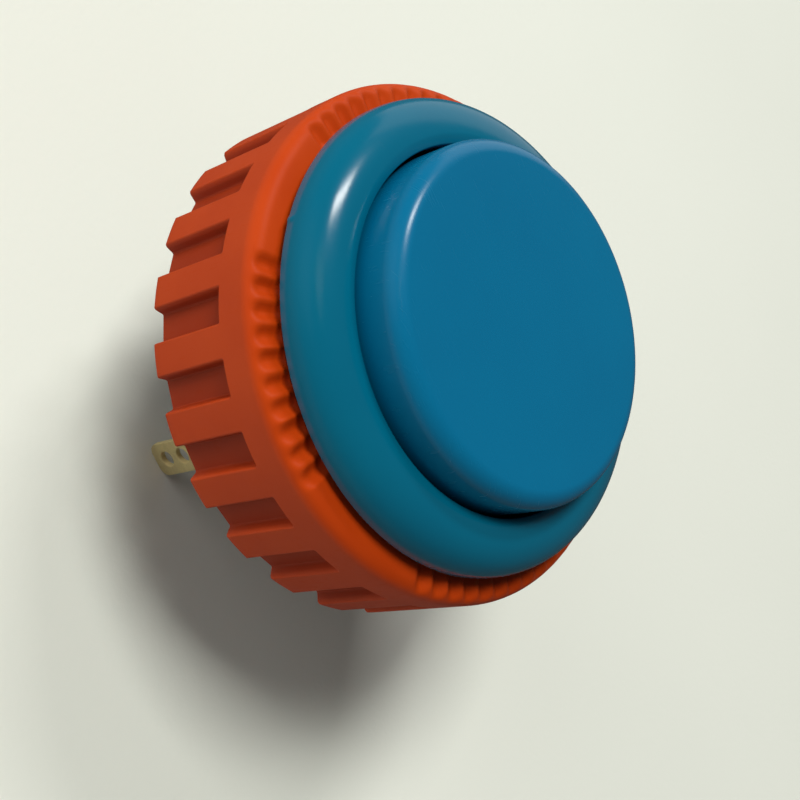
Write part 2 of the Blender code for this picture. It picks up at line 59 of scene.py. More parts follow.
def filleted(corners, closed=True, step=15):
    # each corner (x, y, radius) becomes an arc touching both its sides, in steps of about 15 degrees
    points = []
    for k, (x, y, radius) in enumerate(corners):
        here = np.array((x, y), float)
        if radius == 0 or (not closed and k in (0, len(corners) - 1)):
            points.append(here[None])
            continue
        back = np.array(corners[k - 1][:2], float) - here
        ahead = np.array(corners[(k + 1) % len(corners)][:2], float) - here
        back, ahead = back / np.linalg.norm(back), ahead / np.linalg.norm(ahead)
        half = np.arccos(np.clip(back @ ahead, -1, 1)) / 2
        middle = back + ahead
        centre = here + middle / np.linalg.norm(middle) * radius / np.sin(half)
        first = here + back * radius / np.tan(half) - centre
        last = here + ahead * radius / np.tan(half) - centre
        start = np.arctan2(first[1], first[0])
        sweep = (np.arctan2(last[1], last[0]) - start + np.pi) % turn - np.pi
        count = max(2, int(np.ceil(abs(np.degrees(sweep)) / step)))
        angles = start + sweep * np.linspace(0, 1, count + 1)
        points.append(centre + radius * np.stack([np.cos(angles), np.sin(angles)], 1))
    return np.concatenate(points)


def spread(path, longest, closed=True):  # splits each side into equal steps no longer than this
    ends = np.roll(path, -1, axis=0) if closed else path[1:]
    starts = path if closed else path[:-1]
    lengths = np.linalg.norm(ends - starts, axis=1)
    counts = np.maximum(1, np.ceil(lengths / longest)).astype(int)
    pieces = [
        start + (end - start) * np.linspace(0, 1, count, endpoint=False)[:, None]
        for start, end, count in zip(starts, ends, counts)]
    return np.concatenate(pieces if closed else pieces + [path[-1:]])


def gridFaces(rows, cols, wrapRows, wrapCols):
    # quad from each point to the next one along and down, wrapping round where asked
    a, b = np.meshgrid(np.arange(rows - (not wrapRows)), np.arange(cols - (not wrapCols)), indexing="ij")
    c, d = (a + 1) % rows, (b + 1) % cols
    return np.stack([a * cols + b, a * cols + d, c * cols + d, c * cols + b], -1).reshape(-1, 4)


def meshObject(name, points, faces, sharp=sharpAngle):
    # doubled points are merged, normals turned outwards, and edges sharper than this angle left sharp
    mesh = bpy.data.meshes.new(name)
    mesh.from_pydata(points.reshape(-1, 3) * mm, [], faces)
    work = bmesh.new()
    work.from_mesh(mesh)
    bmesh.ops.remove_doubles(work, verts=work.verts, dist=2e-7)
    bmesh.ops.recalc_face_normals(work, faces=work.faces)
    work.to_mesh(mesh)
    work.free()
    mesh.shade_smooth()
    mesh.set_sharp_from_angle(angle=np.radians(sharp))
    made = bpy.data.objects.new(name, mesh)
    bpy.context.scene.collection.objects.link(made)
    return made


def gridObject(name, grid, wrapRows=False, wrapCols=True, caps=False, sharp=sharpAngle):
    # a mesh of quads over a grid of points, rows by columns
    rows, cols = grid.shape[:2]
    faces = gridFaces(rows, cols, wrapRows, wrapCols).tolist()
    if caps:  # the first and last rows are closed with flat faces
        faces += [list(range(cols)), list(range((rows - 1) * cols, rows * cols))]
    return meshObject(name, grid, faces, sharp)


def revolved(radius, height, angles):  # (r cos a, r sin a, z) for each profile point and angle
    across, along = radius * np.cos(angles), radius * np.sin(angles)
    return np.stack(np.broadcast_arrays(across, along, height), -1)


def turnedPiece(name, profile, steps):  # a profile that starts and ends on the axis
    angles = np.linspace(0, turn, steps, endpoint=False)
    return gridObject(name, revolved(profile[:, :1], profile[:, 1:], angles))


def slab(name, outline, low, high, edge, place=None, rise=2):
    # an outline carried up from low to high; at both ends it steps in by the edge radius on a quarter circle
    following, before = np.roll(outline, -1, 0) - outline, outline - np.roll(outline, 1, 0)
    following /= np.linalg.norm(following, axis=1)[:, None]
    before /= np.linalg.norm(before, axis=1)[:, None]
    turnRight = np.array([[0, -1], [1, 0]])
    outward = following @ turnRight + before @ turnRight
    outward /= np.maximum(1e-9, (outward**2).sum(1) / 2)[:, None]
    area = (outline[:, 0] * np.roll(outline[:, 1], -1) - np.roll(outline[:, 0], -1) * outline[:, 1]).sum()
    outward *= np.sign(area)
    quarter = np.linspace(0, np.pi / 2, rise + 1)
    inset = edge * (1 - np.sin(quarter))
    drop = edge * (1 - np.cos(quarter))
    levels = np.concatenate([low + drop, (high - drop)[::-1]])
    insets = np.concatenate([inset, inset[::-1]])
    flat = outline[None] - outward[None] * insets[:, None, None]
    grid = np.concatenate([flat, np.broadcast_to(levels[:, None, None], (*flat.shape[:2], 1))], -1)
    if place is not None:
        turned = np.array(place.to_3x3())
        grid = grid @ turned.T + np.array(place.translation)
    return gridObject(name, grid, caps=True)


def circlePath(centre, radius, steps=32):  # centre + r (cos a, sin a)
    angles = np.linspace(0, turn, steps, endpoint=False)
    return np.array(centre) + radius * np.stack([np.cos(angles), np.sin(angles)], 1)


def roundedBox(halfX, halfY, corner):  # a rectangle about the middle, with filleted corners
    ends = ((halfX, -halfY), (halfX, halfY), (-halfX, halfY), (-halfX, -halfY))
    return filleted([(x, y, corner) for x, y in ends])


def upright(y=0):  # an outline's second direction goes up along Z, and its thickness along Y about this place
    return Matrix(((1, 0, 0, 0), (0, 0, -1, y), (0, 1, 0, 0), (0, 0, 0, 1)))


def combine(piece, operation, *tools):  # the tools are used up
    for tool in tools:
        modifier = piece.modifiers.new("combine", "BOOLEAN")
        modifier.operation, modifier.solver, modifier.object = operation, "EXACT", tool
    fixed(piece)
    for tool in tools:
        bpy.data.objects.remove(tool)
    return piece


def fixed(piece):  # turns live modifiers into the mesh itself
    graph = bpy.context.evaluated_depsgraph_get()
    mesh = bpy.data.meshes.new_from_object(piece.evaluated_get(graph), depsgraph=graph)
    piece.modifiers.clear()
    piece.data = mesh
    mesh.shade_smooth()
    mesh.set_sharp_from_angle(angle=np.radians(sharpAngle))
    return piece


def movedMesh(piece, place):  # the mesh moves, the object stays at the origin
    piece.data.transform(place)
    return piece


class Signal:  # one output socket; arithmetic on it adds Math nodes
    def __init__(self, finish, socket):
        self.finish, self.socket = finish, socket

    def __add__(self, other):
        return self.finish.maths("ADD", self, other)

    def __mul__(self, other):
        return self.finish.maths("MULTIPLY", self, other)

    def __rsub__(self, other):
        return self.finish.maths("SUBTRACT", other, self)

    __radd__, __rmul__ = __add__, __mul__


class Finish:  # one procedural material being wired up
    def __init__(self, name):
        self.material = bpy.data.materials.new(name)
        self.material.use_nodes = True
        self.tree = self.material.node_tree
        self.tree.nodes.clear()
        self.place = self.node("TexCoord", output="Object")

    def node(self, kind, settings=None, inputs=None, output=0):
        # settings are set first; each input is a plain value or another node's signal
        made = self.tree.nodes.new("ShaderNode" + kind)
        for key, value in (settings or {}).items():
            setattr(made, key, value)
        for key, value in (inputs or {}).items():
            if isinstance(value, Signal):
                self.tree.links.new(value.socket, made.inputs[key])
            else:
                made.inputs[key].default_value = value
        return Signal(self, made.outputs[output])

    def maths(self, operation, a, b):
        return self.node("Math", {"operation": operation}, {0: a, 1: b})

    def ramp(self, value, low, high):  # 0 at low, 1 at high, straight between
        return self.node("MapRange", inputs={0: value, 1: low, 2: high})

    def noise(self, size, detail=2.0, stretch=None, rough=0.5):  # size is a blotch's width in millimetres
        place = self.place
        if stretch:
            place = self.node("Mapping", inputs={"Vector": place, "Scale": stretch})
        return self.node("TexNoise", inputs={
            "Vector": place, "Scale": 1 / (size * mm), "Detail": detail, "Roughness": rough})

    def mix(self, factor, a, b):  # colour a where the factor is 0, colour b where it is 1
        return self.node("Mix", {"data_type": "RGBA"}, {0: factor, 6: a, 7: b}, output=2)

    def relief(self, height, depth):  # depth in millimetres between height 0 and height 1
        return self.node("Bump", inputs={"Height": height, "Distance": depth * mm, "Strength": 1.0})

    def shade(self, **inputs):
        names = {key.replace("_", " "): value for key, value in inputs.items()}
        shader = self.node("BsdfPrincipled", inputs=names)
        self.tree.links.new(shader.socket, self.tree.nodes.new("ShaderNodeOutputMaterial").inputs["Surface"])
        return self.material


def rgb(red, green, blue):
    return (red, green, blue, 1.0)


def moulded(name, look):
    # moulded plastic: slow drift of colour, fine orange peel, and hairlines that dull the gloss a little
    made = Finish(name)
    drift = made.ramp(made.noise(look["driftSize"], 3.0), 0.3, 0.7)
    peel = made.noise(look["peelSize"], 2.0)
    grain = made.noise(look["grainSize"], 3.0)
    hair = made.ramp(made.noise(look["hairSize"], 2.0, stretch=(1.0, 9.0, 1.0)), 0.62, 0.7)
    colour = made.mix(drift, look["colour"], look["drifted"])
    rough = look["gloss"] + 0.05 * grain + look["hairDull"] * hair
    if "filmAndPaintedShade" in look:  # where the piece's own attribute marks the groove floors, painted shade darkens the colour, and the gloss is duller there
        paintedGrooveShade = made.node("Attribute", {"attribute_name": "paintedGrooveShade"}, output=2)
        colour = made.mix(paintedGrooveShade, colour, look["filmAndPaintedShade"])
        rough = rough + 0.12 * paintedGrooveShade
    height = peel + look["grainShare"] * grain
    return made.shade(
        Base_Color=colour, Roughness=rough, IOR=1.5, Normal=made.relief(height, look["peelDepth"]),
        Subsurface_Weight=look["glow"], Subsurface_Radius=look["glowReach"], Subsurface_Scale=mm,
        Specular_IOR_Level=look["specular"],
    )


def stamped(name, look):
    # metal: rolling lines along one direction and a thin patchy tarnish
    made = Finish(name)
    lines = made.noise(look["lineSize"], 3.0, stretch=look["lineStretch"])
    patch = made.ramp(made.noise(look["patchSize"], 4.0, rough=0.6), 0.38, 0.66)
    colour = made.mix(patch, look["colour"], look["tarnish"])
    rough = look["gloss"] + 0.12 * lines + 0.18 * patch
    return made.shade(
        Base_Color=colour, Metallic=look["metal"] - look["filmAndPaintedShade"] * patch, Roughness=rough,
        Normal=made.relief(lines + 0.4 * patch, look["lineDepth"]))


tealLook = {
    "colour": rgb(0.0, 0.12, 0.21), "drifted": rgb(0.0, 0.13, 0.222), "driftSize": 9.0,
    "gloss": 0.16, "specular": 0.5, "peelSize": 1.6, "peelDepth": 0.006, "grainSize": 0.12,
    "grainShare": 0.06, "hairSize": 1.4, "hairDull": 0.05, "glow": 0.0, "glowReach": (0.4, 0.8, 1.0),
}
blueLook = {
    "colour": rgb(0.0, 0.137, 0.285), "drifted": rgb(0.0, 0.147, 0.3), "driftSize": 11.0,
    "gloss": 0.22, "specular": 0.5, "peelSize": 1.9, "peelDepth": 0.006, "grainSize": 0.14, "grainShare": 0.1,
    "hairSize": 1.7, "hairDull": 0.06, "glow": 0.0, "glowReach": (0.4, 0.8, 1.0),
}
orangeLook = {
    # the third colour here is painted shade for the floors of the grip grooves; on the metals the same key is
    # a real tarnish film
    "colour": rgb(0.48, 0.044, 0.003), "drifted": rgb(0.52, 0.052, 0.004), "filmAndPaintedShade": rgb(0.34, 0.031, 0.004),
    "driftSize": 5.0, "gloss": 0.5, "specular": 0.22, "peelSize": 0.9, "peelDepth": 0.012,
    "grainSize": 0.16, "grainShare": 0.25, "hairSize": 1.2, "hairDull": 0.08, "glow": 0.0,
    "glowReach": (1.0, 0.25, 0.1),
}
blackLook = {
    "colour": rgb(0.018, 0.018, 0.02), "drifted": rgb(0.026, 0.026, 0.028), "driftSize": 4.0,
    "gloss": 0.42, "specular": 0.5, "peelSize": 0.5, "peelDepth": 0.012, "grainSize": 0.12, "grainShare": 0.4,
    "hairSize": 1.0, "hairDull": 0.1, "glow": 0.0, "glowReach": (1.0, 1.0, 1.0),
}
whiteLook = {
    "colour": rgb(0.74, 0.73, 0.69), "drifted": rgb(0.7, 0.68, 0.62), "driftSize": 3.0,
    "gloss": 0.4, "specular": 0.5, "peelSize": 0.6, "peelDepth": 0.008, "grainSize": 0.12, "grainShare": 0.3,
    "hairSize": 1.0, "hairDull": 0.08, "glow": 0.1, "glowReach": (1.0, 0.9, 0.7),
}
# painted light: the brass colour is brighter than real brass and only partly metallic, standing in for the
# floor's reflection, which is left out of reflections
brassLook = {
    "colour": rgb(1.0, 0.83, 0.42), "tarnish": rgb(0.8, 0.65, 0.3), "gloss": 0.34, "metal": 0.6, "filmAndPaintedShade": 0.35,
    "lineSize": 0.5, "lineStretch": (6.0, 6.0, 0.4), "lineDepth": 0.006, "patchSize": 1.4,
}
copperLook = {
    "colour": rgb(0.72, 0.4, 0.24), "tarnish": rgb(0.42, 0.2, 0.11), "gloss": 0.28, "metal": 1.0, "filmAndPaintedShade": 0.2,
    "lineSize": 0.5, "lineStretch": (6.0, 0.4, 6.0), "lineDepth": 0.005, "patchSize": 1.6,
}
silverLook = {
    "colour": rgb(0.75, 0.75, 0.73), "tarnish": rgb(0.5, 0.48, 0.44), "gloss": 0.3, "metal": 1.0, "filmAndPaintedShade": 0.2,
    "lineSize": 0.3, "lineStretch": (1.0, 1.0, 1.0), "lineDepth": 0.004, "patchSize": 0.7,
}
steelLook = {
    "colour": rgb(0.56, 0.56, 0.57), "tarnish": rgb(0.4, 0.39, 0.37), "gloss": 0.24, "metal": 1.0,
    "filmAndPaintedShade": 0.1, "lineSize": 0.4, "lineStretch": (1.0, 1.0, 1.0), "lineDepth": 0.003, "patchSize": 1.0,
}
finishes = {
    "teal_plastic": moulded("tealPlastic", tealLook),
    "blue_plastic": moulded("bluePlastic", blueLook),
    "orange_plastic": moulded("orangePlastic", orangeLook),
    "black_plastic": moulded("blackPlastic", blackLook),
    "white_plastic": moulded("whitePlastic", whiteLook),
    "terminal_brass": stamped("terminalBrass", brassLook),
    "copper_strip": stamped("copperStrip", copperLook),
    "contact_silver": stamped("contactSilver", silverLook),
    "spring_steel": stamped("springSteel", steelLook),
}
print("finishes are ready")


def finished(piece, body, slotName, *nodes):
    # colours a piece, hangs it on its body and lets it stand for its CAD nodes
    piece.data.materials.clear()
    piece.data.materials.append(finishes[slotName])
    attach(piece, body)
    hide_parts(*nodes)
    print(piece.name, "has", len(piece.data.polygons), "faces")
    return piece


bezel = {
    "rootRadius": 14.05, "threadRadius": 14.8, "pitch": 2.0, "threadLow": -11.5, "threadTurns": 5,
    "crestHalf": 0.16, "rootHalf": 0.58, "boreRadius": 12.9, "length": 13.8, "rimRadius": 16.7,
    "rimHeight": 0.45, "bulgeOut": 0.92, "bulgeUp": 0.88, "barrelTop": -1.3, "barrelLow": -12.3,
    "barrelRows": 110, "steps": 324, "gateReach": 2.6, "gateGap": 2.8, "gateSteps": 21, "gateMiddle": 0.25,
    "windowCorner": 0.2,
    "height": 3.0, "lip": 0.6, "lipDrop": 0.25, "ledgeRadius": 12.0, "ledgeTop": -6.0, "ledgeBottom": -7.2,
    "windowHalf": 2.6, "windowTop": -9.1, "windowBottom": -11.0, "gateAngle": -141.8, "gateSize": 0.3,
    "gateHeight": 0.12,
}


def threadShape(height, angles, part):
    # share of the thread's depth at each height and angle: 1 on the crest, 0 in the root, eased flanks
    # between, and both ends of the helix run out over a fifth of a turn
    along = (height - part["threadLow"]) / part["pitch"]
    loop = np.round(along - angles / turn)
    off = np.abs(along - angles / turn - loop) * part["pitch"]
    flank = smooth((part["rootHalf"] - off) / (part["rootHalf"] - part["crestHalf"]))
    travelled = loop + angles / turn
    ends = smooth(travelled / 0.2) * smooth((part["threadTurns"] - travelled) / 0.2)
    return flank * ends


def makeBezelBarrel(part):
    crown = part["boreRadius"] + part["lip"]
    width, rise = part["rimRadius"] - crown, part["height"] - part["rimHeight"]
    swing = np.linspace(0, np.pi / 2, 40)
    # the dome: out by the sine and down by the cosine of the swing, each slightly eased
    dome = np.stack([
        crown + width * np.sin(swing) ** part["bulgeOut"],
        part["rimHeight"] + rise * np.cos(swing) ** part["bulgeUp"]], 1)
    lip = filleted([
        (part["boreRadius"], part["height"] - 2.0, 0),
        (part["boreRadius"], part["height"] - part["lipDrop"], 0.18),
        (crown, part["height"], 0)], closed=False)[1:-1]
    rim = filleted([
        (part["rimRadius"], part["rimHeight"], 0), (part["rimRadius"], 0, 0.15), (part["rootRadius"], 0, 0.1),
        (part["rootRadius"], -1.2, 0)], closed=False)[1:]
    rows = np.linspace(part["barrelTop"], part["barrelLow"], part["barrelRows"])
    barrel = np.stack([np.full_like(rows, part["rootRadius"]), rows], 1)
    bore = filleted([
        (part["rootRadius"], -12.4, 0), (part["rootRadius"], -part["length"], 0.35),
        (part["boreRadius"], -part["length"], 0.2), (part["boreRadius"], part["ledgeBottom"], 0),
        (part["ledgeRadius"], part["ledgeBottom"], 0.15), (part["ledgeRadius"], part["ledgeTop"], 0.15),
        (part["boreRadius"], part["ledgeTop"], 0), (part["boreRadius"], part["height"] - 2.0, 0)],
        closed=False)
    profile = np.concatenate([lip, dome, rim, barrel, bore])
    gate = np.radians(part["gateAngle"]) % turn
    angles = np.linspace(0, turn, part["steps"], endpoint=False)
    near = gate + np.radians(np.linspace(-part["gateReach"], part["gateReach"], part["gateSteps"]))
    angles = np.sort(np.concatenate([angles[np.abs(angles - gate) > np.radians(part["gateGap"])], near]))
    radius = np.repeat(profile[:, :1], len(angles), axis=1)
    height = np.repeat(profile[:, 1:], len(angles), axis=1)
    onBarrel = np.abs(radius - part["rootRadius"]) < 1e-6
    depth = part["threadRadius"] - part["rootRadius"]
    radius = radius + onBarrel * depth * threadShape(height, angles[None], part)
    # the trimmed gate: a small round pip where the rim is widest
    across = (angles[None] - gate) * part["rimRadius"] / part["gateSize"]
    upward = (height - part["gateMiddle"]) / part["gateSize"]
    pip = np.exp(-(across**2 + upward**2) * 1.6)
    radius = radius + part["gateHeight"] * pip * (radius > part["rimRadius"] - 0.3)
    piece = gridObject("bezelBarrel", revolved(radius, height, angles), wrapRows=True)
    reach = part["threadRadius"] * 1.1
    tall = part["windowTop"] - part["windowBottom"]
    window = roundedBox(part["windowHalf"], tall / 2, part["windowCorner"])
    middle = (part["windowTop"] + part["windowBottom"]) / 2
    # the window's outline lies in the YZ plane and is carried along X, right through both walls
    place = Matrix(((0, 0, 1, 0), (1, 0, 0, 0), (0, 1, 0, middle), (0, 0, 0, 1)))
    combine(piece, "DIFFERENCE", slab("window", window, -reach, reach, 0.01, place))
    return finished(piece, "housing", "teal_plastic", "bezel_barrel")


makeBezelBarrel(bezel)

plunger = {
    "radius": 12.6, "top": 6.0, "edge": 1.25, "inner": 11.2, "skirt": -3.5, "roof": 4.4, "roofChamfer": 0.8,
    "steps": 192, "longest": 1.2, "legEdge": 0.12,
    "stemRadius": 2.2, "stemFillet": 0.5, "stemEnd": -5.2, "legAngles": (-25, 25, 155, 205), "legWidth": 4.0,
    "legBack": 10.7, "legFace": 11.6, "hook": 12.5, "hookTop": -7.5, "hookBottom": -8.9, "leadIn": 0.35,
}


def makePlunger(part):
    # cap, skirt, roof and stem in one profile turned about Z, and four hooked legs
    cap = filleted([
        (0, part["top"], 0), (part["radius"], part["top"], part["edge"]),
        (part["radius"], part["skirt"], 0.2),
        (part["inner"], part["skirt"], 0.15), (part["inner"], part["roof"], part["roofChamfer"]),
        (part["stemRadius"], part["roof"], part["stemFillet"]), (part["stemRadius"], part["stemEnd"], 0.2),
        (0, part["stemEnd"], 0)], closed=False, step=5)
    cap = spread(cap, part["longest"], closed=False)
    cap[0, 0] = cap[-1, 0] = 0
    piece = turnedPiece("plungerCap", cap, part["steps"])
    side = filleted([
        (part["legBack"], part["skirt"] + 1.0, 0), (part["legBack"], part["hookBottom"], 0.15),
        (part["legFace"], part["hookBottom"], 0.1), (part["hook"], part["hookTop"] - part["leadIn"], 0.08),
        (part["hook"], part["hookTop"], 0.06), (part["legFace"], part["hookTop"], 0.15),
        (part["legFace"], part["skirt"] + 1.0, 0)])
    half = part["legWidth"] / 2
    turns = [Matrix.Rotation(np.radians(angle), 4, "Z") for angle in part["legAngles"]]
    legs = [movedMesh(slab("leg", side, -half, half, part["legEdge"], upright()), placed) for placed in turns]
    combine(piece, "UNION", *legs)
    return finished(piece, "plunger", "blue_plastic", "plunger")


makePlunger(plunger)

nut = {
    "bore": 15.05, "radius": 18.45, "top": -0.6, "bottom": -10.8, "shoulder": 1.0, "foot": 0.3, "mouth": 1.0,
    "ribCount": 25, "firstGroove": 5.3, "grooveFloor": 17.55, "grooveEnd": -3.8, "wallSoft": 0.26,
    "toothGroups": ((-109, 10), (-21, 12), (72, 10), (165, 12)), "toothPitch": 5.0, "toothDepth": 0.42,
    "toothStart": 15.9, "toothEnd": 18.42, "toothFade": 1.0, "threadLow": -11.5, "threadTurns": 6,
    "pitch": 2.0, "crestHalf": 0.16, "rootHalf": 0.58, "threadDepth": 0.55, "steps": 22, "wallReach": 0.75,
    "wallSteps": 7, "threadRows": 40, "longest": 0.32, "endRows": 9, "sharp": 60,
}


def makeNut(part):
    pitch = 360 / part["ribCount"]
    halfGroove = part["grooveFloor"] * np.tan(np.radians(pitch / 4))
    wall = np.degrees(halfGroove / part["radius"])
    # each rib and groove gets even steps, and its walls get close ones
    even = np.linspace(-pitch / 2, pitch / 2, part["steps"], endpoint=False)
    fine = np.linspace(-part["wallReach"], part["wallReach"], part["wallSteps"])
    offsets = np.concatenate([even, wall + fine, -wall - fine])
    degrees = (part["firstGroove"] + pitch * np.arange(part["ribCount"])[:, None] + offsets[None]) % 360
    degrees = np.unique(np.round(degrees.ravel(), 2))
    angles = np.radians(degrees)
    outside = filleted([
        (part["bore"], part["top"] - part["mouth"], 0), (part["bore"] + part["mouth"], part["top"], 0.1),
        (part["radius"], part["top"], part["shoulder"]),
        (part["radius"], part["bottom"], part["foot"]), (part["bore"] + 0.3, part["bottom"], 0)],
        closed=False, step=9)
    outside = spread(outside, part["longest"], closed=False)
    # close rows where the grooves end, and sparse ones along the straight of the ribs
    rows = part["grooveEnd"] + part["wallSoft"] * np.linspace(1, -1, part["endRows"])
    close = np.stack([np.full_like(rows, part["radius"]), rows], 1)
    onSide = np.abs(outside[:, 0] - part["radius"]) < 1e-6
    keep = ~onSide | (np.abs(outside[:, 1] - part["grooveEnd"]) > part["wallSoft"] * 1.1)
    sparse = onSide & (outside[:, 1] < part["grooveEnd"] - 0.8)
    keep &= ~sparse | (np.arange(len(outside)) % 4 == 0)
    before = outside[keep & (outside[:, 1] > part["grooveEnd"])]
    after = outside[keep & (outside[:, 1] <= part["grooveEnd"])]
    outside = np.concatenate([before, close, after])
    mouthEnd = part["top"] - part["mouth"] - 0.1
    rows = np.linspace(part["bottom"] + 0.3, mouthEnd, part["threadRows"])
    inside = np.stack([np.full_like(rows, part["bore"]), rows], 1)
    profile = np.concatenate([outside, inside])
    rowsOutside = len(outside)
    radius = np.repeat(profile[:, :1], len(angles), axis=1)
    height = np.repeat(profile[:, 1:], len(angles), axis=1)
    # grooves: flat floors at a set distance from the axis, with soft walls at both sides and at the front end
    local = nearest(degrees - part["firstGroove"], pitch)
    across = np.abs(np.radians(local)) * part["radius"]
    groove = 1 - smooth((across - halfGroove) / part["wallSoft"] + 0.5)
    front = smooth((part["grooveEnd"] - height) / part["wallSoft"] + 0.5)
    floor = part["grooveFloor"] / np.cos(np.radians(local))
    isOutside = (np.arange(len(profile)) < rowsOutside)[:, None]
    radius = radius - isOutside * np.maximum(radius - floor[None], 0) * groove[None] * front
    # teeth: a cosine across each pitch, faded out towards the bore and over the shoulder
    tooth = np.zeros(len(angles))
    for group, count in part["toothGroups"]:
        fromGroup = nearest(degrees - group, 360)
        inGroup = np.abs(fromGroup) < part["toothPitch"] * count / 2
        phase = fromGroup / part["toothPitch"] + (count - 1) / 2
        tooth += inGroup * (0.5 + 0.5 * np.cos(turn * phase)) ** 0.8
    ring = smooth((radius - part["toothStart"]) / 0.4)
    ring *= 1 - smooth((radius - part["toothEnd"]) / part["toothFade"] + 1)
    onTop = isOutside & (height > part["top"] - part["shoulder"] - 0.01)
    height = height - onTop * part["toothDepth"] * tooth[None] * ring
    # the thread inside is cut outwards from the bore
    share = threadShape(height, angles[None], part)
    fade = smooth((mouthEnd - height) / 0.5) * smooth((height - part["bottom"] - 0.5) / 0.5)
    radius = radius + ~isOutside * part["threadDepth"] * (1 - share) * fade
    piece = gridObject("ringNut", revolved(radius, height, angles), wrapRows=True, sharp=part["sharp"])
    # the attribute that places the painted shade in the grooves is worked out again from each vertex of the
    # finished mesh
    points = np.empty(len(piece.data.vertices) * 3)
    piece.data.vertices.foreach_get("co", points)
    points = points.reshape(-1, 3) / mm
    outward = np.hypot(points[:, 0], points[:, 1])
    local = nearest(np.degrees(np.arctan2(points[:, 1], points[:, 0])) - part["firstGroove"], pitch)
    inGroove = np.abs(np.radians(local)) * part["radius"] < halfGroove + part["wallSoft"]
    # painted shade: full on the groove floors behind the front end, fading out towards the ribs' outer faces
    paintedGrooveShade = inGroove * (points[:, 2] < part["grooveEnd"]) * smooth((part["radius"] - outward) / 0.6)
    paintedGrooveShade *= outward > part["grooveFloor"] - 0.3
    piece.data.attributes.new("paintedGrooveShade", "FLOAT", "POINT").data.foreach_set("value", paintedGrooveShade)
    return finished(piece, "nut", "orange_plastic", "ring_nut")


makeNut(nut)

terminal = {
    "width": 2.8, "thickness": 0.5, "centreX": 1.2, "offsetY": 8.208, "top": -16.9, "tip": -27.8,
    "corner": 0.8, "footCorner": 0.2, "flare": 0.06, "holeSteps": 40,
    "holeRadius": 0.65, "holeDepths": (1.5, 3.5), "footLow": -1.4, "footIn": 4.858, "contactY": 6.008,
    "rivetHole": 0.65, "edge": 0.07,
}


def makeTerminal(name, side, part):
    # an upright tab with a rounded tip and a flat foot bent inwards at its top
    half, low, high = part["width"] / 2, part["tip"], part["top"]
    left, right = part["centreX"] - half, part["centreX"] + half
    corner = part["corner"]
    tab = filleted([(right, high, 0), (left, high, 0), (left, low, corner), (right, low, corner)])
    place = upright(side * part["offsetY"])
    grip = part["thickness"] / 2
    piece = slab(name, tab, -grip, grip, part["edge"], place)
    outer = part["offsetY"] + grip
    ends = sorted((side * outer, side * part["footIn"]))
    footEnds = (right, ends[0]), (right, ends[1]), (part["footLow"], ends[1]), (part["footLow"], ends[0])
    foot = filleted([(x, y, part["footCorner"]) for x, y in footEnds])
    combine(piece, "UNION", slab("foot", foot, high - part["thickness"], high, part["edge"]))
    # punched holes: a cylinder that flares at both faces, so the rim is slightly rolled
    reach, flare, steps = part["thickness"] * 1.5, part["flare"], part["holeSteps"]
    depths = np.array([-reach, -grip, -grip + flare, grip - flare, grip, reach])
    swell = np.array([flare * 2, flare, 0, 0, flare, flare * 2])
    tools = []
    for depth in part["holeDepths"]:
        ring = circlePath((0, 0), 1.0, steps)[None] * (part["holeRadius"] + swell)[:, None, None]
        grid = np.concatenate([ring, np.broadcast_to(depths[:, None, None], (len(depths), steps, 1))], -1)
        # moved in two steps: the flare ends exactly in the tab's faces, so the cut hangs on the last digits
        raised = Matrix.Translation(Vector((part["centreX"], 0, low + depth)) * mm)
        outward = Matrix.Translation((0, side * part["offsetY"] * mm, 0))
        lying = raised @ outward @ Matrix.Rotation(np.pi / 2, 4, "X")
        tools.append(movedMesh(gridObject("hole", grid, caps=True), lying))
    rivetHole = circlePath((0, side * part["contactY"]), part["rivetHole"])
    rivet = slab("rivetHole", rivetHole, high - 1.5, high + 1.0, 0.01)
    combine(piece, "DIFFERENCE", *tools, rivet)
    return finished(piece, "housing", "terminal_brass", "terminal_" + name[-1].lower())


makeTerminal("tabTerminalA", -1, terminal)
makeTerminal("tabTerminalB", 1, terminal)

module = {
    "halfX": 5.0, "halfY": 9.708, "corner": 3.0, "wall": 1.0, "top": -9.1, "bottom": -20.1, "floorTop": -19.1,
    "edge": 0.2, "armEdge": 0.12, "steps": 144, "markRadius": 0.9, "markDepth": 0.08,
    "marks": ((0, 11.6), (0, -11.6), (-3.2, 0), (3.2, 0)),
    "flangeRadius": 13.55, "flangeTop": -14.1, "flangeBottom": -15.3, "armWidth": 4.6, "armFace": 12.6,
    "armBack": 11.3, "armHook": 13.4, "armTip": -8.8, "hookTop": -9.4, "hookBottom": -10.7, "leadIn": 0.35,
    "pinRadius": 1.19, "pinTop": -18.5, "slotHalfX": 1.5, "slotHalfY": 0.35, "shelfTop": -17.5,
}


